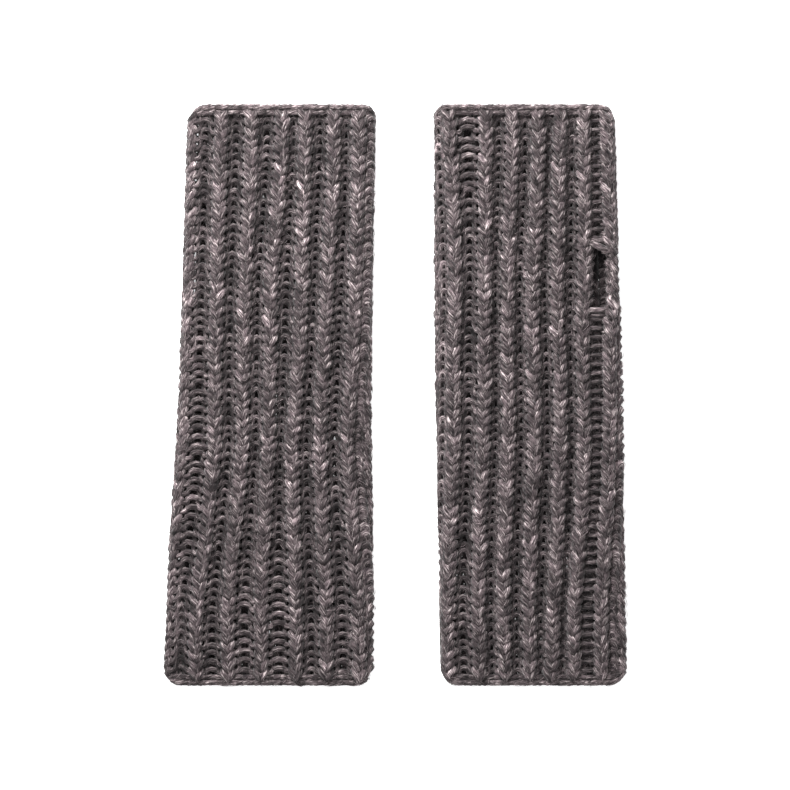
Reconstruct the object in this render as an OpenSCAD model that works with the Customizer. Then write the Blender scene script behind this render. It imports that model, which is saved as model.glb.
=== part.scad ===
// A pair of long fingerless gloves, rib knitted as flat tubes and laid side by side.
// Millimetres. +Y runs to the finger edges, +Z up, underside on z = 0, origin between the gloves.

/* [Pair] */
// Length of each glove, from its finger edge to its arm edge
glove_len = 260; // [200:5:340]
// Space between the two gloves at their arm edges
pair_gap = 30; // [15:1:80]

/* [Left glove] */
// Flat width at the finger edge
left_finger_w = 85; // [60:0.5:130]
// Flat width at the wrist fold
left_wrist_w = 86.5; // [60:0.5:130]
// Flat width at the cuff fold
left_cuff_w = 92; // [60:0.5:130]
// Flat width at the arm edge
left_arm_w = 94; // [60:0.5:130]
// Sideways shift of the finger edge from the arm edge
left_lean = 6.5; // [-15:0.5:15]

/* [Right glove] */
// Flat width at the finger edge
right_finger_w = 81.5; // [60:0.5:130]
// Flat width at the wrist fold
right_wrist_w = 84; // [60:0.5:130]
// Flat width at the cuff fold
right_cuff_w = 84; // [60:0.5:130]
// Flat width at the arm edge
right_arm_w = 84; // [60:0.5:130]
// Sideways shift of the finger edge from the arm edge
right_lean = -4.5; // [-15:0.5:15]

/* [Knit] */
// Thickness of one layer of rib
wall = 5; // [4:0.25:7]
// Space between the two layers where the glove lies flat
cavity = 6; // [5:0.5:14]

/* [Folds] */
// Length of the cuff that turns back
cuff_len = 60; // [30:1:80]
// Length of the forearm between the cuff fold and the wrist fold
forearm_len = 70; // [40:1:100]
// Clear space between two lengths of a glove at a fold
fold_gap = 0.3; // [0.2:0.05:1]

/* [Edges] */
// Height of the bound-off chain at the finger edge
finger_edge_h = 3; // [2:0.5:6]
// Height of the cast-on row at the arm edge
arm_edge_h = 4; // [2:0.5:8]
// How far an edge row draws in at each side
edge_draw = 2.5; // [1.5:0.25:5]
// How much lower an edge row is than the rib, on each face
edge_thin = 1; // [0.5:0.25:2]

/* [Thumb opening] */
// Length of the opening
thumb_len = 26; // [18:1:45]
// Width of the opening
thumb_open = 6; // [5:0.5:7]
// Distance from the finger edge to the opening
thumb_from_top = 65; // [30:1:80]
// Distance from the folded side to the middle of the opening and of the side seam
seam_inset = 7.5; // [6.5:0.25:12]
// Width of the selvedge along each side of the opening
lip_w = 2.5; // [1.5:0.25:2.75]
// Length of the tack that closes each end of the opening
tack_len = 4; // [2:0.5:8]

/* [Sewing yarn] */
// Thickness of the yarn in the side seam and in the darned ends
yarn_d = 2.4; // [1.5:0.1:2.8]
// Room round that yarn in the rib
yarn_clear = 0.05; // [0.02:0.01:0.2]
// Length of each darned-in end
tail_len = 40; // [20:1:60]
// Distance from the side seam to a darned-in end
tail_step = 12; // [8:0.5:25]

/* [Hidden] */
$fn = 96;

// The two gloves, and the three lengths that each is folded into
LEFT = 0;
RIGHT = 1;
HAND = 0;
FOREARM = 1;
CUFF = 2;

// The folded side that carries the seam, and the face that the thumb opening is cut through
SEAM_SIDE = [-1, 1];
SEAM_FACE = [-1, 1];

rib_colour = [0.376, 0.337, 0.341];
edge_colour = [0.42, 0.38, 0.385];
seam_colour = [0.30, 0.27, 0.275];

// Cuts and clipping blocks run this far past what they cut
over = 5;
thick = 2 * wall + cavity;
mid_z = thick / 2;

finger_y = glove_len / 2;
arm_y = -glove_len / 2;
cuff_y = arm_y + cuff_len;
wrist_y = cuff_y + forearm_len;
stations = [finger_y, wrist_y, cuff_y, arm_y];
widths = [
    [left_finger_w, left_wrist_w, left_cuff_w, left_arm_w],
    [right_finger_w, right_wrist_w, right_cuff_w, right_arm_w]
];
leans = [left_lean, right_lean];

// A slab reaches past the far side of any glove, and runs on past both ends of its length
reach = 1.25 * max(concat(widths[LEFT], widths[RIGHT]));
run_on = reach / 4;

// Half of the room that the pair takes at its arm edges, so the origin stays in the middle
half_span = (left_arm_w + right_arm_w + pair_gap) / 2;
arm_mid = [-half_span + left_arm_w / 2, half_span - right_arm_w / 2];

// Middle of a glove, and its folded side, at one of the stations
function mid_x(glove, s) = arm_mid[glove] + leans[glove] * (stations[s] - arm_y) / glove_len;
function side_x(glove, s, side) = mid_x(glove, s) + side * widths[glove][s] / 2;

// A side's angle from +Y, and its length, between one station and the next
function side_run(glove, s, side) = side_x(glove, s, side) - side_x(glove, s + 1, side);
function side_rise(s) = stations[s] - stations[s + 1];
function side_angle(glove, s, side) = -atan2(side_run(glove, s, side), side_rise(s));
function side_len(glove, s, side) = norm([side_run(glove, s, side), side_rise(s)]);

// Height of the middle of the rib's layer on the seam's face, at a distance in from the fold
mid_r = (thick + cavity) / 4;
function layer_z(glove, inset) =
    mid_z + SEAM_FACE[glove] * (inset < mid_z ? sqrt(mid_r * mid_r - pow(mid_z - inset, 2)) : mid_r);

// Frame on a folded side: origin at its upper end, +X in from the fold, -Y down along it
module side_frame(glove, s, side) {
    translate([side_x(glove, s, side), stations[s], 0])
        rotate([0, 0, side_angle(glove, s, side)])
            mirror([side > 0 ? 1 : 0, 0, 0])
                children();
}

// Everything between two heights along the glove
module band(low_y, high_y) {
    translate([-2 * half_span, low_y, -over])
        cube([4 * half_span, high_y - low_y, thick + 2 * over]);
}

// A slab with one round side, which lies along a folded side and runs on past the other one
module round_slab(glove, s, side, r, draw) {
    side_frame(glove, s, side)
        translate([mid_z + draw, run_on, mid_z])
            rotate([90, 0, 0])
                linear_extrude(height = side_len(glove, s, side) + 2 * run_on) {
                    circle(r = r);
                    translate([0, -r])
                        square([reach, 2 * r]);
                }
}

// A flattened tube of any radius about its middle line: where the two sides' slabs meet
module flat_tube(glove, s, low_y, high_y, r, draw = 0) {
    intersection() {
        round_slab(glove, s, -1, r, draw);
        round_slab(glove, s, 1, r, draw);
        band(low_y, high_y);
    }
}

// A hollow length of the knitted tube between two heights
module rib(glove, s, low_y, high_y) {
    difference() {
        flat_tube(glove, s, low_y, high_y, mid_z);
        flat_tube(glove, s, low_y - over / 2, high_y + over / 2, cavity / 2);
    }
}

// A lower, narrower ring that finishes an end of the tube
module edge_row(glove, s, low_y, high_y) {
    difference() {
        flat_tube(glove, s, low_y, high_y, mid_z - edge_thin, edge_draw - edge_thin);
        flat_tube(glove, s, low_y - over / 2, high_y + over / 2, cavity / 2, edge_draw - edge_thin);
    }
}

// What lies in a side's frame, cut off level at two heights
module along_side(glove, s, low_y, high_y) {
    intersection() {
        side_frame(glove, s, SEAM_SIDE[glove])
            children();
        band(low_y, high_y);
    }
}

// A strip over the seam's face of the hand, between two distances in from the fold
module seam_patch(glove, in_from, in_to, low_y, high_y) {
    run = side_len(glove, HAND, SEAM_SIDE[glove]) + run_on;
    along_side(glove, HAND, low_y, high_y)
        translate([in_from, -run, SEAM_FACE[glove] > 0 ? mid_z : -over])
            cube([in_to - in_from, run + run_on, mid_z + over]);
}

// A length of sewing yarn inside the layer, parallel to the folded side
module yarn(glove, s, inset, low_y, high_y, d = yarn_d) {
    along_side(glove, s, low_y, high_y)
        translate([inset, run_on, layer_z(glove, inset)])
            rotate([90, 0, 0])
                cylinder(h = side_len(glove, s, SEAM_SIDE[glove]) + 2 * run_on, d = d);
}

// The room that a yarn needs in the layer
module channel(glove, s, inset, low_y, high_y) {
    yarn(glove, s, inset, low_y, high_y, yarn_d + 2 * yarn_clear);
}

// The thumb opening with its selvedges at the sides and its tacks at the ends
lip_from = seam_inset - thumb_open / 2 - lip_w;
lip_to = seam_inset + thumb_open / 2 + lip_w;
open_high = finger_y - thumb_from_top;
open_low = open_high - thumb_len;
tack_high = open_high + tack_len;
tack_low = open_low - tack_len;

// Where the rib ends against an edge row or at a fold
hand_high = finger_y - finger_edge_h;
hand_low = wrist_y + fold_gap / 2;
forearm_high = wrist_y - fold_gap / 2;
forearm_low = cuff_y + fold_gap / 2;
cuff_high = cuff_y - fold_gap / 2;
cuff_low = arm_y + arm_edge_h;

// Where the darned-in ends lie
tail_inset = seam_inset + tail_step;
finger_tail_low = hand_high - tail_len;
arm_tail_high = cuff_low + tail_len;

module hand(glove) {
    color(rib_colour)
        difference() {
            rib(glove, HAND, hand_low, hand_high);
            seam_patch(glove, lip_from, lip_to, tack_low, tack_high);
            channel(glove, HAND, seam_inset, tack_high - over / 2, hand_high + over);
            channel(glove, HAND, seam_inset, hand_low - over, tack_low + over / 2);
            channel(glove, HAND, tail_inset, finger_tail_low, hand_high + over);
        }
}

module forearm(glove) {
    color(rib_colour)
        difference() {
            rib(glove, FOREARM, forearm_low, forearm_high);
            channel(glove, FOREARM, seam_inset, forearm_low - over, forearm_high + over);
        }
}

module cuff(glove) {
    color(rib_colour)
        difference() {
            rib(glove, CUFF, cuff_low, cuff_high);
            channel(glove, CUFF, seam_inset, cuff_low - over, cuff_high + over);
            channel(glove, CUFF, tail_inset, cuff_low - over, arm_tail_high);
        }
}

module finger_edge(glove) {
    color(edge_colour)
        edge_row(glove, HAND, hand_high, finger_y);
}

module arm_edge(glove) {
    color(edge_colour)
        edge_row(glove, CUFF, arm_y, cuff_low);
}

// A piece of the hand's own layer round the thumb opening
module opening_piece(glove, in_from, in_to, low_y, high_y) {
    color(edge_colour)
        intersection() {
            rib(glove, HAND, hand_low, hand_high);
            seam_patch(glove, in_from, in_to, low_y, high_y);
        }
}

module thumb_lip_outer(glove) {
    opening_piece(glove, lip_from, lip_from + lip_w, open_low, open_high);
}

module thumb_lip_inner(glove) {
    opening_piece(glove, lip_to - lip_w, lip_to, open_low, open_high);
}

module thumb_tack_upper(glove) {
    opening_piece(glove, lip_from, lip_to, open_high, tack_high);
}

module thumb_tack_lower(glove) {
    opening_piece(glove, lip_from, lip_to, tack_low, open_low);
}

module seam_finger(glove) {
    color(seam_colour)
        yarn(glove, HAND, seam_inset, tack_high, hand_high);
}

module seam_palm(glove) {
    color(seam_colour)
        yarn(glove, HAND, seam_inset, hand_low, tack_low);
}

module seam_forearm(glove) {
    color(seam_colour)
        yarn(glove, FOREARM, seam_inset, forearm_low, forearm_high);
}

module seam_cuff(glove) {
    color(seam_colour)
        yarn(glove, CUFF, seam_inset, cuff_low, cuff_high);
}

module finger_tail(glove) {
    color(seam_colour)
        yarn(glove, HAND, tail_inset, finger_tail_low + yarn_clear, hand_high);
}

module arm_tail(glove) {
    color(seam_colour)
        yarn(glove, CUFF, tail_inset, cuff_low, arm_tail_high - yarn_clear);
}

hand(LEFT);  // left_hand
forearm(LEFT);  // left_forearm
cuff(LEFT);  // left_cuff
finger_edge(LEFT);  // left_finger_edge
arm_edge(LEFT);  // left_arm_edge
thumb_lip_outer(LEFT);  // left_thumb_lip_outer
thumb_lip_inner(LEFT);  // left_thumb_lip_inner
thumb_tack_upper(LEFT);  // left_thumb_tack_upper
thumb_tack_lower(LEFT);  // left_thumb_tack_lower
seam_finger(LEFT);  // left_seam_finger
seam_palm(LEFT);  // left_seam_palm
seam_forearm(LEFT);  // left_seam_forearm
seam_cuff(LEFT);  // left_seam_cuff
finger_tail(LEFT);  // left_finger_tail
arm_tail(LEFT);  // left_arm_tail
hand(RIGHT);  // right_hand
forearm(RIGHT);  // right_forearm
cuff(RIGHT);  // right_cuff
finger_edge(RIGHT);  // right_finger_edge
arm_edge(RIGHT);  // right_arm_edge
thumb_lip_outer(RIGHT);  // right_thumb_lip_outer
thumb_lip_inner(RIGHT);  // right_thumb_lip_inner
thumb_tack_upper(RIGHT);  // right_thumb_tack_upper
thumb_tack_lower(RIGHT);  // right_thumb_tack_lower
seam_finger(RIGHT);  // right_seam_finger
seam_palm(RIGHT);  // right_seam_palm
seam_forearm(RIGHT);  // right_seam_forearm
seam_cuff(RIGHT);  // right_seam_cuff
finger_tail(RIGHT);  // right_finger_tail
arm_tail(RIGHT);  // right_arm_tail
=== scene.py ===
import math

import bmesh
import bpy
import numpy as np
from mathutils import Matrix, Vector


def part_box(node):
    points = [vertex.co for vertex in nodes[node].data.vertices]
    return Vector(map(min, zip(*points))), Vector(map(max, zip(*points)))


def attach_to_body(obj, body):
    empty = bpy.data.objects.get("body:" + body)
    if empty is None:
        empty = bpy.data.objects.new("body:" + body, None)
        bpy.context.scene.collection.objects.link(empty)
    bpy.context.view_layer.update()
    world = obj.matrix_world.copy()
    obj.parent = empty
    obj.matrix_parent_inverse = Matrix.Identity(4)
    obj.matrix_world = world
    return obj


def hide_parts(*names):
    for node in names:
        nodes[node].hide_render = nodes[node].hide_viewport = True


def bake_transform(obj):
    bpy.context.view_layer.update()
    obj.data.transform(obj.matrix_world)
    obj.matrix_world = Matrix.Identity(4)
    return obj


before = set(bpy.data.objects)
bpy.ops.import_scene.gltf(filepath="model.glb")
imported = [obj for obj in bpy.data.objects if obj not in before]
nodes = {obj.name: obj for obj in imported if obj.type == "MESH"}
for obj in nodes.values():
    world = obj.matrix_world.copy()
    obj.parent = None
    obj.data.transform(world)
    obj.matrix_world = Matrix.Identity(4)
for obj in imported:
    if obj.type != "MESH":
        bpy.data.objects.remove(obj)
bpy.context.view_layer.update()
mm = 0.001


class Flow:
    # one socket of a material; sums on it add Math nodes
    def __init__(self, tree, socket):
        self.tree, self.socket = tree, socket

    def node(self, kind, settings, sockets, output=0):
        made = self.tree.nodes.new("ShaderNode" + kind)
        for name, value in settings.items():
            if name == "stops":
                for place, colour in value[1:-1]:
                    made.color_ramp.elements.new(place).color = colour
                for end, (place, colour) in ((0, value[0]), (-1, value[-1])):
                    made.color_ramp.elements[end].position = place
                    made.color_ramp.elements[end].color = colour
            else:
                setattr(made, name, value)
        for name, value in sockets.items():
            if isinstance(value, Flow):
                self.tree.links.new(value.socket, made.inputs[name])
            else:
                made.inputs[name].default_value = value
        return Flow(self.tree, made.outputs[output])

    def maths(self, operation, *values):
        return self.node("Math", {"operation": operation}, dict(enumerate(values)))

    def __add__(self, other):
        return self.maths("ADD", self, other)

    def __sub__(self, other):
        return self.maths("SUBTRACT", self, other)

    def __rsub__(self, other):
        return self.maths("SUBTRACT", other, self)

    def __mul__(self, other):
        return self.maths("MULTIPLY", self, other)

    __radd__, __rmul__ = __add__, __mul__

    def shade(self, colour):  # this value darkens or lightens a colour
        return self.node("VectorMath", {"operation": "SCALE"}, {0: colour, "Scale": self})


wool = {
    "dark": (0.0140, 0.0102, 0.0120, 1.0),  # dyed fibres in the blend
    "middle": (0.083, 0.0645, 0.0678, 1.0),
    "light": (0.42, 0.362, 0.358, 1.0),  # undyed fibres
    "roughness": 0.92,
    "sheen": 0.12,
    "bump": 0.75,
    "bumpDepth": 0.35 * mm,
    "specular": 0.15,
    "sheenSpread": 0.5,
    "blotchScale": 280.0,
    "blotchGain": 2.6,
    "blotchDrop": 0.5,
}


def woolMaterial(name, brightness):
    material = bpy.data.materials.new(name)
    material.use_nodes = True
    tree = material.node_tree
    shader = tree.nodes["Principled BSDF"]
    start = Flow(tree, None)
    fibre = start.node("Attribute", {"attribute_name": "fibrePlace"}, {}, 1)
    tone = start.node("Attribute", {"attribute_name": "yarnTone"}, {}, 2)
    place = start.node("TexCoord", {}, {}, 3)
    streaks = start.node("TexNoise", {}, {"Vector": fibre, "Scale": 1.0, "Detail": 2.0, "Roughness": 0.6})
    blotch = start.node("TexNoise", {}, {"Vector": place, "Scale": wool["blotchScale"],
                                       "Detail": 3.0, "Roughness": 0.6})
    heather = start.node("ValToRGB", {"stops": [
        (0.36, wool["dark"]), (0.50, wool["middle"]), (0.56, wool["middle"]), (0.70, wool["light"])]},
        {"Fac": streaks})
    level = (blotch * wool["blotchGain"] - wool["blotchDrop"]) * tone * brightness
    colour = level.shade(heather)
    bump = start.node("Bump", {}, {"Strength": wool["bump"], "Distance": wool["bumpDepth"], "Height": streaks})
    tree.links.new(colour.socket, shader.inputs["Base Color"])
    tree.links.new(bump.socket, shader.inputs["Normal"])
    shader.inputs["Roughness"].default_value = wool["roughness"]
    shader.inputs["Specular IOR Level"].default_value = wool["specular"]
    shader.inputs["Sheen Weight"].default_value = wool["sheen"]
    shader.inputs["Sheen Roughness"].default_value = wool["sheenSpread"]
    return material


ribWool = woolMaterial("ribWool", 1.1)
edgeWool = woolMaterial("edgeWool", 1.22)
seamWool = woolMaterial("seamWool", 0.9)
print("wool materials made")


yarn = {
    "radius": 1.34 * mm,
    "twistLength": 42 * mm,  # one turn of the ply
    "streakLength": 3.2 * mm,
    "streakWidth": 0.38 * mm,
}


def spinYarn(name, strands, sides, material):
    # strands: dictionaries of points, radii, tones and whether they close
    curve = bpy.data.curves.new(name, "CURVE")
    curve.dimensions = "3D"
    curve.bevel_depth = 1.0
    curve.bevel_resolution = (sides - 4) // 2
    for strand in strands:
        spline = curve.splines.new("POLY")
        count = len(strand["points"])
        spline.points.add(count - 1)
        spline.points.foreach_set("co", np.column_stack([strand["points"], np.ones(count)]).ravel())
        spline.points.foreach_set("radius", strand["radii"])
        spline.use_cyclic_u = strand["closed"]
    helper = bpy.data.objects.new(name + "_helper", curve)
    bpy.context.scene.collection.objects.link(helper)
    bpy.context.view_layer.update()
    mesh = bpy.data.meshes.new_from_object(helper.evaluated_get(bpy.context.evaluated_depsgraph_get()))
    bpy.data.objects.remove(helper)
    places, tones = [], []
    turn = 2 * math.pi * np.arange(sides) / sides
    for strand in strands:
        steps = np.linalg.norm(np.diff(strand["points"], axis=0), axis=1)
        along = np.concatenate([[0], np.cumsum(steps)])
        angle = turn[None, :] + (2 * math.pi * along / yarn["twistLength"])[:, None]
        roundness = yarn["radius"] / yarn["streakWidth"]
        ring = np.empty((len(along), sides, 3))
        ring[:, :, 0] = (along / yarn["streakLength"])[:, None] + strand["offset"]
        ring[:, :, 1] = roundness * np.cos(angle)
        ring[:, :, 2] = roundness * np.sin(angle)
        places.append(ring.reshape(-1, 3))
        tones.append(np.repeat(strand["tones"], sides))
    places, tones = np.concatenate(places), np.concatenate(tones)
    assert len(mesh.vertices) == len(places), (name, len(mesh.vertices), len(places))
    mesh.attributes.new("fibrePlace", "FLOAT_VECTOR", "POINT").data.foreach_set("vector", places.ravel())
    mesh.attributes.new("yarnTone", "FLOAT", "POINT").data.foreach_set("value", tones)
    shell = bmesh.new()
    shell.from_mesh(mesh)
    bmesh.ops.remove_doubles(shell, verts=shell.verts, dist=0.001 * mm)  # closes the pointed ends
    shell.to_mesh(mesh)
    shell.free()
    mesh.shade_smooth()
    mesh.materials.clear()
    mesh.materials.append(material)
    piece = bpy.data.objects.new(name, mesh)
    bpy.context.scene.collection.objects.link(piece)
    return piece


rib = {
    "rowPitch": 4.03 * mm,
    "edgeRoom": 5.2 * mm,  # from an end to the middle of its nearest course
    "repeats": 15,  # knit and purl columns round the tube
    "knitWidth": 4.9 * mm,
    "loopHeight": 3.65 * mm,
    "crown": 1.3 * mm,  # a rib column stands rounded
    "slant": 0.95 * mm,
    "purlHeight": 2.4 * mm,
    "legLean": 1.62 * mm,
    "purlLean": 1.25 * mm,
    "depth": 1.45 * mm,  # legs lie this far in front of the loop heads
    "skin": 2.75 * mm,  # from the fabric's middle to its outside at a fold
    "midRadius": 4.65 * mm,  # of the fabric's middle at the folds
    "purlSink": 2.45 * mm,
    "ladderSink": 1.5 * mm,
    "foldFlatten": 0.65,
    "foldFill": 0.16,
    "foldSpread": 1.3,
    "foldOut": 0.7 * mm,
    # painted shade: innerShade darkens yarn that lies inside the fabric's middle, over the depths in shadeDepths
    "innerShade": 0.5,
    "faceFill": 0.15,  # purls are fuller at their middle, and the hidden face is closer knit
    "backFill": 0.9,
    "jitter": 0.3 * mm,
    "knitSteps": 14,
    "purlSteps": 12,
    "armDraw": (1.5 * mm, 8 * mm),  # how much the tube thins at its arm end, and over what length
    "fingerDraw": (0.8 * mm, 5 * mm),
    "cornerSide": 1.6 * mm,  # how far a corner's arc starts outside the side and the end
    "cornerEnd": 1.2 * mm,
    "cornerLimit": 1.3,
    "wander": 0.3 * mm,  # the columns sway a little along the glove
    "wanderWaves": (19 * mm, 31 * mm),
    "slantWave": 48 * mm,
    "leastPurl": 1.2 * mm,
    "ladderWidths": (8.4 * mm, 11.0 * mm),  # a wider gap opens into a ladder of bars
    "legTone": (-0.04, 0.3),
    "purlTone": (-0.12, 0.3),
    "fatRange": (0.93, 1.08),
    "leanRange": (0.82, 1.15),
    "sinkerTurn": 2.4,
    "kneeFat": 0.2,
    "swingShare": (0.25, 0.65),
    "leanShare": (0.3, 0.7),
    "purlFat": (0.74, 0.12, 0.08),
    "shadeDepths": (0.5 * mm, 3 * mm),
}

gloves = {
    "left": {
        "anchor": 1,  # the column whose x is given first, then the distances from each column to the next
        "columns": {
            110: (-77.4, 14.5, 13.0, 13.4, 11.2, 12.1, 11.6),
            47: (-79.7, 14.5, 13.0, 11.6, 13.0, 12.5, 12.1),
            -24: (-80.8, 14.5, 12.1, 12.3, 11.0, 11.4, 12.1),
            -96: (-88.6, 14.5, 14.2, 14.3, 15.6, 13.8, 14.8),
        },
        "slitGap": 14,
        "outward": -1,  # the way from the slit to the glove's outer side
        "slitSpread": (2.4 * mm, 0.3 * mm),  # how far the columns before and after it move away
        "corners": (8, 5.5, 7, 6),  # finger end left and right, arm end left and right
        "seed": 5,
    },
    "right": {
        "anchor": 0,
        "columns": {
            110: (24.2, 16.1, 12.1, 11.2, 10.3, 10.5, 11.1),
            47: (26.9, 13.0, 10.3, 11.2, 11.0, 11.6, 12.2),
            -24: (26.2, 13.2, 10.7, 12.3, 11.9, 10.3, 11.1),
            -96: (21.9, 13.9, 11.6, 10.7, 10.7, 9.8, 12.1),
        },
        "slitGap": 5,
        "outward": 1,
        "slitSpread": (-0.6 * mm, 3.1 * mm),
        "corners": (5, 6.5, 7, 7.5),
        "seed": 6,
    },
}


def ease(a, b, t):
    t = np.clip((t - a) / (b - a), 0, 1)
    return t * t * (3 - 2 * t)


def planEdges(side):
    # the folds of the tube as the frame has them: heights, left x and right x
    heights, lefts, rights = [], [], []
    for part in ("hand", "forearm", "cuff"):
        points = np.array([v.co for v in nodes[f"{side}_{part}"].data.vertices])
        low, high = points[:, 1].min(), points[:, 1].max()
        for end in (high, low):
            there = points[np.abs(points[:, 1] - end) < 0.2 * mm]
            heights.append(end)
            lefts.append(there[:, 0].min())
            rights.append(there[:, 0].max())
    order = np.argsort(heights)
    return [np.array(v)[order] for v in (heights, lefts, rights)]


class Tube:
    def __init__(self, side):
        self.side = side
        self.style = gloves[side]
        self.heights, self.lefts, self.rights = planEdges(side)
        low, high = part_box(f"{side}_hand")
        self.midZ = (high[2] + low[2]) / 2
        self.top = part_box(f"{side}_finger_edge")[1][1]
        self.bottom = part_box(f"{side}_arm_edge")[0][1]
        wobble = np.random.default_rng(self.style["seed"])
        self.phases = wobble.uniform(0, 2 * math.pi, (3, rib["repeats"]))

    def rounded(self, points):  # draws the four plan corners in to their radii
        x, y = points[:, 0].copy(), points[:, 1].copy()
        left, right = np.interp(y, self.heights, self.lefts), np.interp(y, self.heights, self.rights)
        places = ((left, -1, self.top, 1), (right, 1, self.top, 1),
                  (left, -1, self.bottom, -1), (right, 1, self.bottom, -1))
        limit = rib["cornerLimit"]
        for radius, (sideX, wayX, endY, wayY) in zip(self.style["corners"], places):
            r = radius * mm
            u = (x - sideX) * wayX / r + 1 + rib["cornerSide"] / r
            v = (y - endY) * wayY / r + 1 + rib["cornerEnd"] / r
            near = (u > 0) & (v > 0)
            u, v = np.clip(u, 0, limit), np.clip(v, 0, limit)
            newU, newV = u * np.sqrt(1 - v * v / 2), v * np.sqrt(1 - u * u / 2)
            x = np.where(near, x + (newU - u) * r * wayX, x)
            y = np.where(near, y + (newV - v) * r * wayY, y)
        return np.column_stack([x, y, points[:, 2]])

    def section(self, y):  # flat run and radius of the fabric's middle at height y
        left, right = np.interp(y, self.heights, self.lefts), np.interp(y, self.heights, self.rights)
        (armDraw, armLength), (fingerDraw, fingerLength) = rib["armDraw"], rib["fingerDraw"]
        radius = rib["midRadius"] - armDraw * (1 - ease(0, armLength, y - self.bottom))
        radius = radius - fingerDraw * (1 - ease(0, fingerLength, self.top - y))
        return left + radius + rib["skin"], right - radius - rib["skin"], radius

    def girth(self, y):
        a, b, radius = self.section(y)
        return 2 * (b - a) + 2 * math.pi * radius

    def place(self, s, y, out):  # a point of the fabric: s round the tube, out from its middle
        a, b, radius = self.section(y)
        flat, quarter = b - a, math.pi * radius / 2
        s = np.mod(s, 2 * flat + 4 * quarter)
        angle = np.where(s < quarter, s / radius,
                 np.where(s < quarter + flat, math.pi / 2,
                 np.where(s < 3 * quarter + flat, math.pi / 2 + (s - quarter - flat) / radius,
                 np.where(s < 3 * quarter + 2 * flat, 1.5 * math.pi,
                          1.5 * math.pi + (s - 3 * quarter - 2 * flat) / radius))))
        run = np.where(s < quarter, 0, np.where(s < quarter + flat, s - quarter,
              np.where(s < 3 * quarter + flat, flat,
              np.where(s < 3 * quarter + 2 * flat, 3 * quarter + 2 * flat - s, 0))))
        reach = radius + out
        return a + run - reach * np.cos(angle), self.midZ + reach * np.sin(angle)

    def courses(self):  # heights of the rows of stitches, set between the two edges
        room = self.top - self.bottom - 2 * rib["edgeRoom"]
        rows = int(round(room / rib["rowPitch"]))
        return [self.bottom + rib["edgeRoom"] + room * i / rows for i in range(rows + 1)]

    def foldShare(self, s, y):  # 1 at the middle of a fold, 0 on the flat faces
        a, b, radius = self.section(y)
        flat, quarter = b - a, math.pi * radius / 2
        s = np.mod(s + quarter, 2 * flat + 4 * quarter)
        away = np.minimum(np.abs(s - quarter), np.abs(s - 3 * quarter - flat))
        return np.clip(1 - away / quarter, 0, 1)

    def spot(self, x, y):  # distance round the tube of a place on the upper face
        a, b, radius = self.section(y)
        reach = radius + rib["skin"]
        turn = math.asin(min(max((a - x) / reach, 0), 1)) - math.asin(min(max((x - b) / reach, 0), 1))
        return math.pi * radius / 2 + min(max(x, a), b) - a - radius * turn

    def centres(self, y):  # where the knit columns stand round the tube at height y
        count = rib["repeats"]
        plan = self.style["columns"]
        heights = sorted(plan)
        x, *gaps = [np.interp(y / mm, heights, along) * mm for along in zip(*[plan[h] for h in heights])]
        girth = self.girth(y)
        gaps = gaps + [(girth - sum(gaps)) / (count - len(gaps))] * (count - len(gaps) - 1)
        start = self.spot(x, y) - sum(gaps[:self.style["anchor"]])
        even = start + np.concatenate([[0], np.cumsum(gaps)])
        first, second = rib["wanderWaves"]
        return even + rib["wander"] * (np.sin(y / first + self.phases[0]) + np.sin(y / second + self.phases[1]))


tubes = {side: Tube(side) for side in gloves}
slit = {side: {"low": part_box(f"{side}_thumb_lip_outer")[0][1], "high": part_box(f"{side}_thumb_lip_outer")[1][1]}
        for side in gloves}
print("slits", slit)


opening = {
    "ease": 4 * mm,  # the columns move apart over this length at both ends
    "tuckSteps": 3,  # a course that ends at the slit turns in
    "tuckAlong": 0.4 * mm,
    "tuckIn": 1.6 * mm,
    "shadow": 0.9,  # painted shadow: the far side of the tube is darkened where it shows through the slit
    "shadowWidths": (7 * mm, 10 * mm),
    "shadowDepth": 0.6 * mm,
    "shadowLow": 6 * mm,
    "shadowHigh": 4 * mm,
}


def slitPush(tube, y):  # how far the slit spreads its two columns at height y
    low, high = slit[tube.side]["low"], slit[tube.side]["high"]
    room = opening["ease"]
    return ease(low - room, low + room, y) * (1 - ease(high - room, high + room, y))


def seamHeart(tube, y):  # middle and half width of the seam's gap at height y
    centres, gap, count = tube.centres(y), tube.style["slitGap"], rib["repeats"]
    nextCentre = centres[(gap + 1) % count] + (tube.girth(y) if gap == count - 1 else 0)
    push = slitPush(tube, y)
    before, after = tube.style["slitSpread"]
    left, right = centres[gap] - push * before, nextCentre + push * after
    return (left + right) / 2, (right - left) / 2 - rib["knitWidth"] / 2


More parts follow.
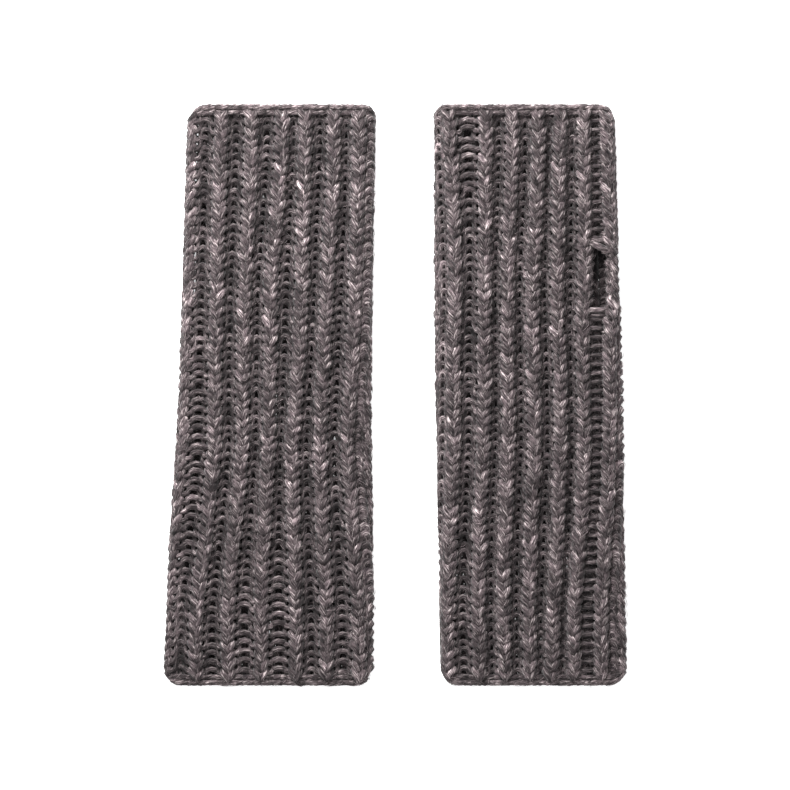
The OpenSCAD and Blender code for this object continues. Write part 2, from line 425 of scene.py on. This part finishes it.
def courseStrand(tube, y, seed):
    # one round of the rib at height y: a knit stitch, then a purl stitch, for each repeat
    dice = np.random.default_rng(seed)
    count = rib["repeats"]
    centres = tube.centres(y)
    girth = tube.girth(y)
    gap = tube.style["slitGap"]
    push = slitPush(tube, y)
    before, after = tube.style["slitSpread"]
    centres[gap] -= push * before
    centres[(gap + 1) % count] += push * after
    slants = rib["slant"] * np.sin(y / rib["slantWave"] + tube.phases[2])  # one leg of a column rides higher
    half = rib["knitWidth"] / 2
    shownGaps = min(map(len, tube.style["columns"].values())) - 1
    isOpen = slit[tube.side]["low"] < y < slit[tube.side]["high"]
    runs, rises, outs, radii, tones = [], [], [], [], []
    order = [(gap + 1 + i) % count for i in range(count)] if isOpen else list(range(count))
    lap = 0.0
    for index, k in enumerate(order):
        if index and k == 0:
            lap = girth
        nextCentre = centres[(k + 1) % count] + (girth if k == count - 1 else 0)
        middle = centres[k] + lap
        bound = nextCentre + lap - half
        wide = max(bound - middle - half, rib["leastPurl"])
        ladder = float(ease(*rib["ladderWidths"], np.array(wide)))
        tone = np.repeat(dice.lognormal(*rib["legTone"], 2), rib["knitSteps"] // 2)  # one for each leg
        shift = dice.normal(0, rib["jitter"], 3)
        fat = dice.uniform(*rib["fatRange"])
        t = 2 * math.pi * np.arange(rib["knitSteps"]) / rib["knitSteps"]
        front = -np.cos(2 * t)
        lean = np.where(t < math.pi, dice.uniform(*rib["leanRange"]), dice.uniform(*rib["leanRange"]))
        across = half * (t / math.pi - 1) + rib["legLean"] * lean * np.sin(2 * t)
        runs.append(middle + across + shift[0] * np.sin(t / 2))
        rises.append(-rib["loopHeight"] * np.cos(t) + shift[1] * np.sin(t / 2) + slants[k] * (t / math.pi - 1))
        depth = rib["depth"] * front
        edge = np.sin(t / 2) ** 0.5  # sinkers pass through the fabric's middle
        outs.append(np.where(np.abs(t - math.pi) > rib["sinkerTurn"], depth * 0.5, depth) + shift[2] * edge
                    - rib["crown"] * (across / half) ** 2 * edge)
        radii.append(yarn["radius"] * fat * (1 + rib["kneeFat"] * front))
        tones.append(tone)
        if isOpen and k == gap:
            break
        tone = dice.lognormal(*rib["purlTone"])
        t = 2 * math.pi * np.arange(rib["purlSteps"]) / rib["purlSteps"]
        back = np.cos(2 * t)
        sink = rib["purlSink"] * (1 - ladder) + rib["ladderSink"] * ladder
        least, more = rib["swingShare"]
        swing = rib["depth"] * (least + more * ladder)
        body = np.sin(t / 2) ** 0.5
        least, more = rib["leanShare"]
        runs.append(middle + half + wide * t / (2 * math.pi)
                    + rib["purlLean"] * (least + more * ladder) * np.sin(2 * t))
        rises.append(-rib["loopHeight"] + (rib["loopHeight"] + rib["purlHeight"]) * (1 - np.cos(t)) / 2
                     + dice.normal(0, rib["jitter"] * (1 + ladder)) * body
                     + slants[k] - (slants[k] + slants[(k + 1) % count]) * t / (2 * math.pi))
        outs.append(-sink * body + swing * back * body - 0.5 * rib["depth"] * (1 - body))
        fill = rib["backFill"] if shownGaps <= k < count - 1 else rib["faceFill"]
        thin, wider, knee = rib["purlFat"]
        plump = 1 + fill * np.sin(t / 2) ** 2
        radii.append(yarn["radius"] * plump * (thin + wider * ladder) * (1 + knee * back))
        tones.append(np.full(len(t), tone))
    runs, rises, outs, radii, tones = [np.concatenate(v) for v in (runs, rises, outs, radii, tones)]
    if isOpen:
        steps = opening["tuckSteps"]
        tuck = np.linspace(0, 1, steps + 1)[1:]
        aside, inwards = opening["tuckAlong"] * tuck, opening["tuckIn"] * tuck
        runs = np.concatenate([runs[0] - aside[::-1], runs, runs[-1] + aside])
        rises = np.concatenate([rises[:1].repeat(steps), rises, rises[-1:].repeat(steps)])
        outs = np.concatenate([outs[0] - inwards[::-1], outs, outs[-1] - inwards])
        radii = np.concatenate([radii[0] * (1 - tuck[::-1] ** 3), radii, radii[-1] * (1 - tuck ** 3)])
        tones = np.concatenate([tones[:1].repeat(steps), tones, tones[-1:].repeat(steps)])
    tight = tube.foldShare(runs, y)  # stitches pack closer round a fold
    outs = outs * (1 - np.where(outs > 0, rib["foldFlatten"], rib["foldSpread"]) * tight) + rib["foldOut"] * tight
    # painted shade: yarn lying deeper than the fabric's middle, such as the sunk purls in the gutters, is darkened
    tones = tones * (1 - rib["innerShade"] * ease(*rib["shadeDepths"], -outs))
    # painted shadow: inward-facing yarn on the tube's far side behind the slit is darkened, more strongly towards
    # the slit's top
    low, high = slit[tube.side]["low"], slit[tube.side]["high"]
    behind = girth - seamHeart(tube, y)[0]  # the far side of the tube, seen through the slit
    paintedSlitShadow = push * (behind > girth / 2) * (1 - ease(*opening["shadowWidths"], np.abs(runs - behind)))
    paintedSlitShadow = paintedSlitShadow * ease(-opening["shadowDepth"], opening["shadowDepth"], -outs)
    lit = ease(low + opening["shadowLow"], high - opening["shadowHigh"], y)
    tones = tones * (1 - opening["shadow"] * paintedSlitShadow * lit)
    radii = radii * (1 + rib["foldFill"] * tight)
    x, z = tube.place(runs, y, outs)
    outerX, outerZ = tube.place(runs, y, outs + mm)
    normals = np.column_stack([(outerX - x) / mm, 0 * x, (outerZ - z) / mm])
    points = tube.rounded(np.column_stack([x, y + rises, z]))
    return {"points": points, "normals": normals, "radii": radii, "tones": tones, "closed": not isOpen,
            "offset": dice.uniform(0, 400)}


zones = {"hand": (35 * mm, 200 * mm), "wrist": (-35 * mm, 35 * mm), "cuff": (-200 * mm, -35 * mm)}
stands = {"hand": ["hand"], "wrist": ["forearm"], "cuff": ["cuff"]}
bends = {
    "wrist": ("forearm_part", "hand_part", -8 * mm, 34 * mm),
    "cuff": ("forearm_part", "cuff_part", -60 * mm, -104 * mm),
}


def attach(piece, side, zone):
    if zone in bends:
        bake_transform(piece)
    else:
        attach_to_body(piece, f"{side}_hand_part")


fuzz = {
    "perCourse": 110,
    "length": (2.5 * mm, 6.5 * mm),
    "radius": (0.05 * mm, 0.11 * mm),
    "lift": (0.05 * mm, 0.75 * mm),
    "points": 4,
    "turn": 0.7,
    "stray": 0.45,
    "curl": 0.5 * mm,
    "root": 0.92,
    "hook": 0.25 * mm,
    "lowest": 0.1 * mm,
    "tones": [0.3, 1.0, 2.0, 3.2],
    "toneShares": [0.25, 0.25, 0.3, 0.2],
}


def fuzzStrands(strands, seed):
    # loose fibres that lie along the yarn and stand a little off it
    dice = np.random.default_rng(seed)
    hairs = []
    for strand in strands:
        points, normals = strand["points"], strand["normals"]
        tangents = np.gradient(points, axis=0)
        tangents /= np.linalg.norm(tangents, axis=1)[:, None] + 1e-9
        for i in dice.integers(4, len(points) - 4, fuzz["perCourse"]):
            normal, along = normals[i], tangents[i]
            sideways = np.cross(normal, along)
            turn = dice.normal(0, fuzz["turn"])
            outward = math.cos(turn) * normal + math.sin(turn) * sideways
            around = math.cos(turn) * sideways - math.sin(turn) * normal
            stray = dice.normal(0, fuzz["stray"])
            heading = math.cos(stray) * along + math.sin(stray) * around
            length, lift = dice.uniform(*fuzz["length"]), dice.uniform(*fuzz["lift"])
            share = np.linspace(-0.5, 0.5, fuzz["points"])[:, None]
            curl = dice.normal(0, fuzz["curl"])
            path = points[i] + outward * strand["radii"][i] * fuzz["root"] + heading * length * share
            path = path + outward * lift * (1 - (2 * share) ** 2) - outward * fuzz["hook"] * (2 * share) ** 2
            path = path + around * curl * (2 * share) ** 2
            path[:, 2] = np.maximum(path[:, 2], fuzz["lowest"])
            bright = dice.choice(fuzz["tones"], p=fuzz["toneShares"])
            thin = dice.uniform(*fuzz["radius"])
            hairs.append({"points": path, "radii": thin * np.array([0.0, 1, 1, 0.0]), "closed": False,
                          "tones": np.full(fuzz["points"], bright), "offset": dice.uniform(0, 400)})
    return hairs


knitted = {}
for side, tube in tubes.items():
    heights = tube.courses()
    for zone, (low, high) in zones.items():
        strands = [courseStrand(tube, y, tube.style["seed"] * 1000 + i)
                   for i, y in enumerate(heights) if low <= y < high]
        piece = spinYarn(f"{side}_knit_{zone}", strands, 6, ribWool)
        attach(piece, side, zone)
        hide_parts(*[f"{side}_{n}" for n in stands[zone]])
        print(side, zone, len(strands), "courses", len(piece.data.polygons) * 2, "triangles")
        knitted[side, zone] = strands

edging = {
    "link": 5.6 * mm,  # length of one chain stitch
    "swing": 0.8 * mm,
    "rise": 0.14 * mm,
    "radius": 1.3 * mm,
    "sway": 0.6 * mm,
    # each chain's height from its end of the tube, depth, seed step and tone
    "topChains": ((-1.4 * mm, 0.3 * mm, 0, 1.5), (-3.7 * mm, -1.0 * mm, 5, 1.1)),
    "lowChains": ((1.5 * mm, -0.1 * mm, 1, 0.9), (3.9 * mm, -1.1 * mm, 2, 0.75)),
}


def yarnLine(tube, runs, rises, outs, radius, seed, closed=False, tone=1.0):
    # a yarn laid on the tube, through distances round it, heights and depths
    dice = np.random.default_rng(seed)
    runs, rises, outs = [np.asarray(v, float) for v in (runs, rises, outs)]
    spots = list(zip(runs, rises, outs))
    xz = np.array([[float(v) for v in tube.place(np.array(s), y, o)] for s, y, o in spots])
    beyond = np.array([[float(v) for v in tube.place(np.array(s), y, o + mm)] for s, y, o in spots])
    points = tube.rounded(np.column_stack([xz[:, 0], rises, xz[:, 1]]))
    normals = np.column_stack([beyond[:, 0] - xz[:, 0], 0 * rises, beyond[:, 1] - xz[:, 1]]) / mm
    radii = radius * (1 + 0.06 * dice.normal(size=len(points)))
    if not closed:
        radii[0] = radii[-1] = 0
    tones = tone * np.repeat(dice.lognormal(-0.03, 0.22, len(points) // 4 + 1), 4)[:len(points)]
    return {"points": points, "normals": normals, "radii": radii, "tones": tones, "closed": closed,
            "offset": dice.uniform(0, 400)}


seamStands = {"hand": ["seam_finger"], "wrist": ["seam_palm", "seam_forearm"], "cuff": ["seam_cuff"]}


def chainEdge(tube, y, out, seed, tone):
    # two strands that swap places once a stitch, all round an open end of the tube
    girth = tube.girth(y)
    links = int(round(girth / edging["link"]))
    turn = np.linspace(0, 2 * math.pi * links, links * 10, endpoint=False)
    strands = []
    for phase in (0, math.pi):
        runs = girth * turn / turn[-1] * (1 - 1 / len(turn)) + edging["sway"] * np.sin(2 * (turn + phase))
        rises = y + edging["rise"] * np.sin(turn + phase)
        outs = out + edging["swing"] * np.cos(turn + phase)
        strands.append(yarnLine(tube, runs, rises, outs, edging["radius"], seed + int(phase), True, tone))
    return strands


seam = {
    "radius": 0.95 * mm,
    "tone": 0.8,
    "bite": 0.5 * mm,  # how far the yarn goes into the columns beside the gap
    "tilt": 0.3 * mm,
    "jitter": 0.1 * mm,
    "rowShare": 0.4,  # of a row, from a course to its stitch
    "fromSlit": (4 * mm, 3 * mm),
    # one stitch: share of the half gap, depth and climb in mm
    "stitch": ((-1, -2.6, 0), (-0.75, -1.1, 0), (-0.3, -0.35, 0), (0.3, -0.35, 0),
               (0.75, -1.1, 0), (1, -2.6, 0.4), (0.4, -3.2, 1.4), (-0.4, -3.2, 2.4)),
}


def seamStrand(tube, rows, seed):
    # mattress stitch: one bar across the gap for each course, joined underneath
    dice = np.random.default_rng(seed)
    runs, rises, outs = [], [], []
    for y in rows:
        heart, half = seamHeart(tube, y)
        half = half + seam["bite"]
        tilt = dice.normal(0, seam["tilt"])
        for share, drop, climb in seam["stitch"]:
            runs.append(heart + half * share)
            rises.append(y + tilt * share + climb * mm + dice.normal(0, seam["jitter"]))
            outs.append(drop * mm)
    return yarnLine(tube, runs, rises, outs, seam["radius"], seed, tone=seam["tone"])


lipYarn = {
    "beyond": 2 * mm,  # past both ends of the slit
    "points": 34,
    "inset": 0.2 * mm,
    "sway": 0.45 * mm,
    "depth": -1.3 * mm,
    "swing": 0.55 * mm,
    "radius": 1.05 * mm,
    "tone": 0.8,
}


def lipStrand(tube, way, seed):
    # a selvedge: it sways once a course along one side of the slit
    opened = slit[tube.side]
    rises = np.linspace(opened["low"] - lipYarn["beyond"], opened["high"] + lipYarn["beyond"], lipYarn["points"])
    phase = 2 * math.pi * rises / rib["rowPitch"]
    runs = []
    for y, turn in zip(rises, phase):
        heart, half = seamHeart(tube, y)
        runs.append(heart + way * (half - lipYarn["inset"] + lipYarn["sway"] * math.cos(turn)))
    outs = lipYarn["depth"] + lipYarn["swing"] * np.sin(phase)
    return yarnLine(tube, runs, rises, outs, lipYarn["radius"], seed, tone=lipYarn["tone"])


tacks = {
    "upper": {"end": "high", "away": 1.4 * mm, "slope": -5.2 * mm, "radius": 1.55 * mm, "step": 2.6 * mm},
    "lower": {"end": "low", "away": -1.0 * mm, "slope": 0.3 * mm, "radius": 1.2 * mm, "step": -2.4 * mm},
}
# the two strands of a tack: steps from its place, bite, share of the slope, crown, sink, share of the radius, tone
tackStrands = (
    (0, 1.6 * mm, 0.5, 0.9 * mm, 3.2 * mm, 1.0, 1.15),
    (1, 1.3 * mm, 0.1, 0.2 * mm, 3.0 * mm, 0.8, 0.9),
)


def tackLines(tube, tack, seed):
    y = slit[tube.side][tack["end"]] + tack["away"]
    heart, half = seamHeart(tube, y)
    share = np.linspace(-1, 1, 11)
    strands = []
    for number, (steps, bite, slopeShare, crown, sink, fat, tone) in enumerate(tackStrands):
        rises = y + steps * tack["step"] + slopeShare * tack["slope"] * share
        outs = crown - sink * np.abs(share) ** 2.2
        strands.append(yarnLine(tube, heart + (half + bite) * share, rises, outs,
                                tack["radius"] * fat, seed + number, tone=tone))
    return strands


tailYarn = {
    "points": 60,
    "inward": 12 * mm,  # from the seam
    "sway": 1.4 * mm,
    "swayLength": 8 * mm,
    "depth": -2.9 * mm,
    "radius": 1.0 * mm,
    "tone": 0.7,
}


def tailStrand(tube, start, end, seed):
    # a yarn end darned up or down inside the layer
    rises = np.linspace(start, end, tailYarn["points"])
    heart = np.array([seamHeart(tube, y)[0] for y in rises])
    sway = tailYarn["sway"] * np.sin(2 * math.pi * rises / tailYarn["swayLength"])
    runs = heart - tube.style["outward"] * tailYarn["inward"] + sway
    outs = np.full(tailYarn["points"], tailYarn["depth"])
    return yarnLine(tube, runs, rises, outs, tailYarn["radius"], seed, tone=tailYarn["tone"])


def chainRows(tube, end, rows, seed):
    return [strand for up, out, step, tone in rows
            for strand in chainEdge(tube, end + up, out, seed + step, tone)]


for side, tube in tubes.items():
    seed = tube.style["seed"] * 77
    outward = tube.style["outward"]
    slitLow, slitHigh = slit[side]["low"], slit[side]["high"]

    topChain = chainRows(tube, tube.top, edging["topChains"], seed)
    lowChain = chainRows(tube, tube.bottom, edging["lowChains"], seed)
    knitted[side, "hand"] += topChain * 2  # listed twice for twice the loose fibres
    knitted[side, "cuff"] += lowChain * 2
    bindOff = spinYarn(f"{side}_bind_off", topChain, 6, edgeWool)
    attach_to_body(bindOff, f"{side}_hand_part")
    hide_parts(f"{side}_finger_edge")
    castOn = spinYarn(f"{side}_cast_on", lowChain, 6, edgeWool)
    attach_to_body(castOn, f"{side}_cuff_part")
    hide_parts(f"{side}_arm_edge")

    below, above = seam["fromSlit"]
    heights = [y + seam["rowShare"] * rib["rowPitch"] for y in tube.courses()[:-1]]
    heights = [y for y in heights if not slitLow - below < y < slitHigh + above]
    for zone, (low, high) in zones.items():
        stitches = seamStrand(tube, [y for y in heights if low <= y < high], seed + 3)
        piece = spinYarn(f"{side}_seam_{zone}", [stitches], 6, seamWool)
        attach(piece, side, zone)
        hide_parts(*[f"{side}_{n}" for n in seamStands[zone]])

    for name, way in (("outer", outward), ("inner", -outward)):
        lipLine = lipStrand(tube, way, seed + 9 + way)
        lip = spinYarn(f"{side}_thumb_lip_{name}", [lipLine], 6, edgeWool)
        knitted[side, "hand"] += [lipLine] * 2
        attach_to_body(lip, f"{side}_hand_part")
        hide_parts(f"{side}_thumb_lip_{name}")

    for name, settings in tacks.items():
        tack = spinYarn(f"{side}_thumb_tack_{name}", tackLines(tube, settings, seed + 20), 6, edgeWool)
        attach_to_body(tack, f"{side}_hand_part")
        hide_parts(f"{side}_thumb_tack_{name}")

    for name, body, start, end in (("finger_tail", "hand_part", tube.top - 3 * mm, tube.top - 43 * mm),
                                   ("arm_tail", "cuff_part", tube.bottom + 4 * mm, tube.bottom + 44 * mm)):
        tail = spinYarn(f"{side}_{name}", [tailStrand(tube, start, end, seed + 30)], 6, seamWool)
        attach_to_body(tail, f"{side}_{body}")
        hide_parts(f"{side}_{name}")
    print(side, "edges, seam and slit made")


for (side, zone), strands in knitted.items():
    halo = spinYarn(f"{side}_fuzz_{zone}", fuzzStrands(strands, gloves[side]["seed"]), 4, ribWool)
    attach(halo, side, zone)
    print(side, zone, "fuzz", len(halo.data.polygons) * 2, "triangles")


studio = {
    "viewWidth": 353.5 * mm,
    "distance": 2.2,
    "eyeLevel": 0.008,  # the height that the view width is measured at
    "sensor": 36,
    "farthest": 20,
    "floorSize": 6,
    "floorWhite": 0.93,
    "floorRoughness": 0.9,
    "floorGlow": 0.55,
    "skyGlow": 0.62,
}
white = (1, 1, 1, 1)


def floorSheet():
    bpy.ops.mesh.primitive_plane_add(size=studio["floorSize"])
    floor = bpy.context.object
    floor.name = "floor"
    material = bpy.data.materials.new("floorPaper")
    material.use_nodes = True
    shader = material.node_tree.nodes["Principled BSDF"]
    shader.inputs["Base Color"].default_value = (*[studio["floorWhite"]] * 3, 1)
    shader.inputs["Roughness"].default_value = studio["floorRoughness"]
    shader.inputs["Emission Color"].default_value = white
    shader.inputs["Emission Strength"].default_value = studio["floorGlow"]
    floor.data.materials.append(material)


floorSheet()
world = bpy.data.worlds.new("studio")
bpy.context.scene.world = world
world.use_nodes = True
world.node_tree.nodes["Background"].inputs["Color"].default_value = white
world.node_tree.nodes["Background"].inputs["Strength"].default_value = studio["skyGlow"]


def softBox(name, place, size, power):
    light = bpy.data.lights.new(name, "AREA")
    light.size = size
    light.energy = power
    lamp = bpy.data.objects.new(name, light)
    bpy.context.scene.collection.objects.link(lamp)
    lamp.location = place
    direction = -lamp.location
    lamp.rotation_euler = direction.to_track_quat("-Z", "Y").to_euler()


softBox("keyBox", (-0.24, 0.6, 0.52), 0.4, 16.5)
softBox("fillBox", (0.1, -0.1, 1.3), 0.8, 4)

camera = bpy.data.cameras.new("camera")
camera.sensor_width = studio["sensor"]
camera.lens = studio["sensor"] * studio["distance"] / studio["viewWidth"]
camera.clip_end = studio["farthest"]
eye = bpy.data.objects.new("camera", camera)
bpy.context.scene.collection.objects.link(eye)
eye.location = (0, 0, studio["distance"] + studio["eyeLevel"])
bpy.context.scene.camera = eye

bpy.context.scene.view_settings.view_transform = "Standard"
